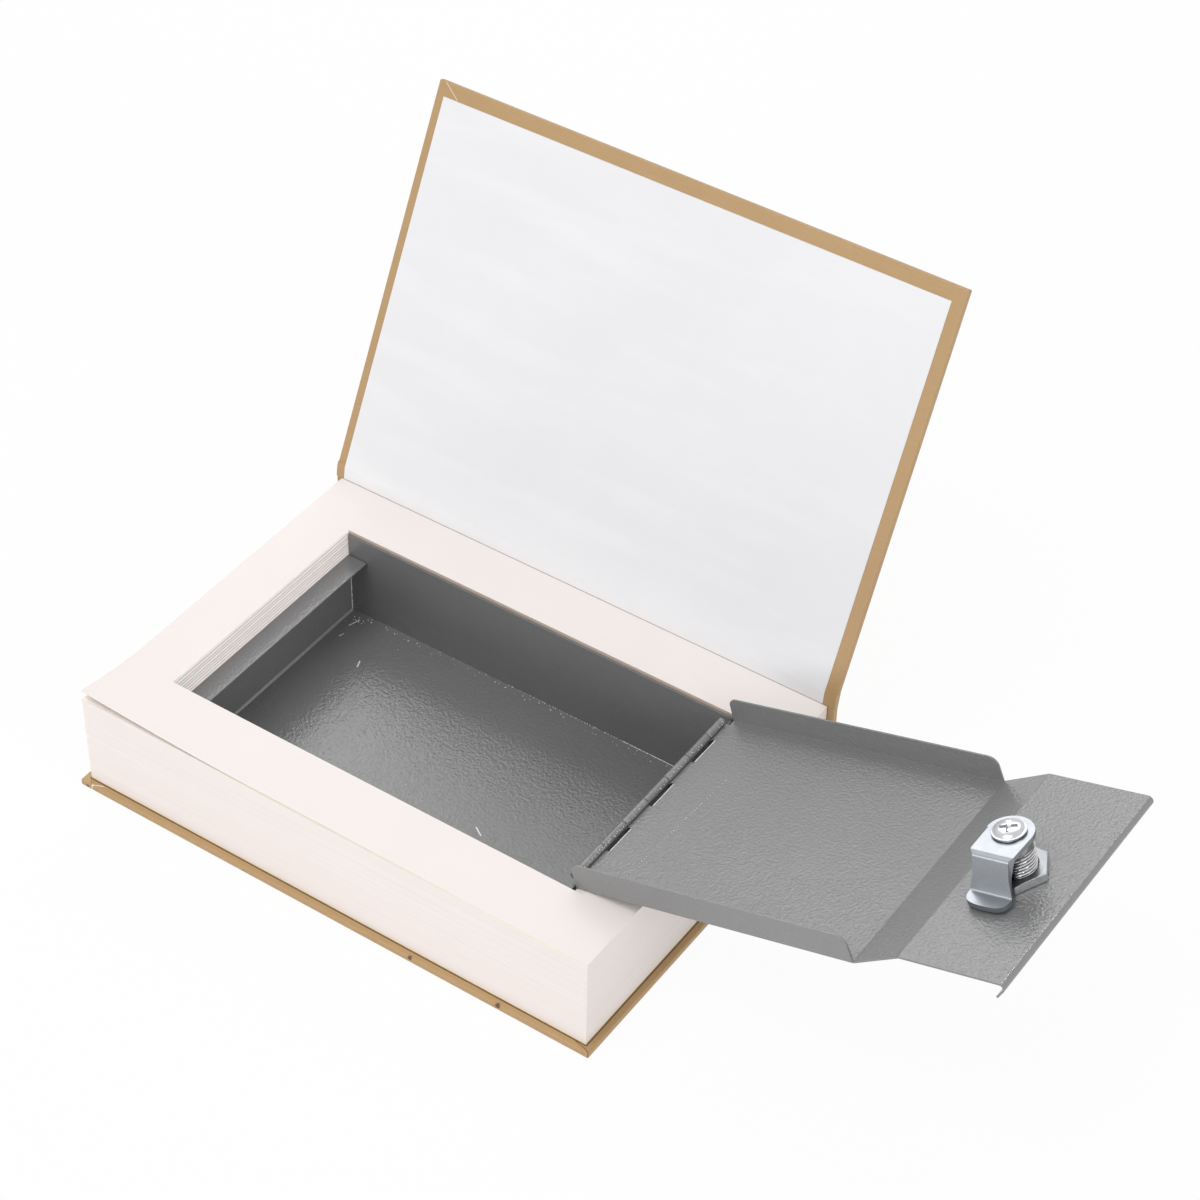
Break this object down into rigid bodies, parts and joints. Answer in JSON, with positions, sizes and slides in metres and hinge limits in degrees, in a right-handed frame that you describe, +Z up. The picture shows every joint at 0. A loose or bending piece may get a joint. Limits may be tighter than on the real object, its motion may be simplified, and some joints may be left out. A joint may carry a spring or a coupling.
{
  "type": "book diversion safe",
  "caption": "Hardcover book safe standing open: a folded steel box sunk in its pages, with a hinged sheet lid that a cam lock holds shut.",
  "frame": {"origin": "middle of the back cover's underside", "axes": "+X along the spine from the latch end to the hinge end, +Y from the fore-edge to the spine, +Z up"},
  "size_m": [0.3916, 0.2489, 0.2026],
  "materials": {
    "cover_wrap": "satin",
    "cover_board": "matte",
    "endpaper": "matte",
    "page_paper": "matte",
    "grey_steel": "satin powder coat",
    "pin_steel": "satin",
    "lock_zinc": "polished",
    "lock_brass": "satin"
  },
  "bodies": {
    "case": {"back_wrap": "cover_wrap", "back_board": "cover_board", "spine_board": "cover_board", "back_endpaper": "page_paper", "page_block": "page_paper", "top_leaf": "page_paper", "tray": "grey_steel", "hinge_pin": "pin_steel"},
    "cover_joint": {"joint_wrap": "cover_wrap", "joint_endpaper": "endpaper"},
    "front_cover": {"front_wrap": "cover_wrap", "front_board": "cover_board", "front_endpaper": "endpaper"},
    "lid": {"lid": "grey_steel", "lock_housing": "lock_zinc", "lock_nut": "lock_zinc"},
    "lock_core": {"lock_plug": "lock_brass", "lock_cam": "lock_zinc", "cam_screw": "lock_zinc"},
    "wafers": {"wafer_1": "lock_brass", "wafer_2": "lock_brass", "wafer_3": "lock_brass", "wafer_4": "lock_brass", "wafer_5": "lock_brass"}
  },
  "joints": [
    {"name": "lid_hinge", "type": "hinge", "parent": "case", "child": "lid", "pos_m": [0.0909, 0.0013, 0.04642], "axis": [0, -1, 0], "range_deg": [0, 164.9]},
    {"name": "spine_crease", "type": "hinge", "parent": "case", "child": "cover_joint", "pos_m": [0, 0.0853, 0.0469], "axis": [1, 0, 0], "range_deg": [0, 32]},
    {"name": "cover_crease", "type": "hinge", "parent": "cover_joint", "child": "front_cover", "pos_m": [0, 0.0853, 0.0514], "axis": [1, 0, 0], "range_deg": [-60, 85]},
    {"name": "lock_turn", "type": "hinge", "parent": "lid", "child": "lock_core", "pos_m": [0.24583, 0.0013, 0.09202], "axis": [-0.2823, 0, 0.9593], "range_deg": [0, 90]},
    {"name": "wafer_slide", "type": "slide", "parent": "lock_core", "child": "wafers", "axis": [0, 1, 0], "range_m": [0, 0.0006]}
  ],
  "couplings": [
    {"joint": "spine_crease", "follows": "lid_hinge", "ratio": 0.19394}
  ]
}
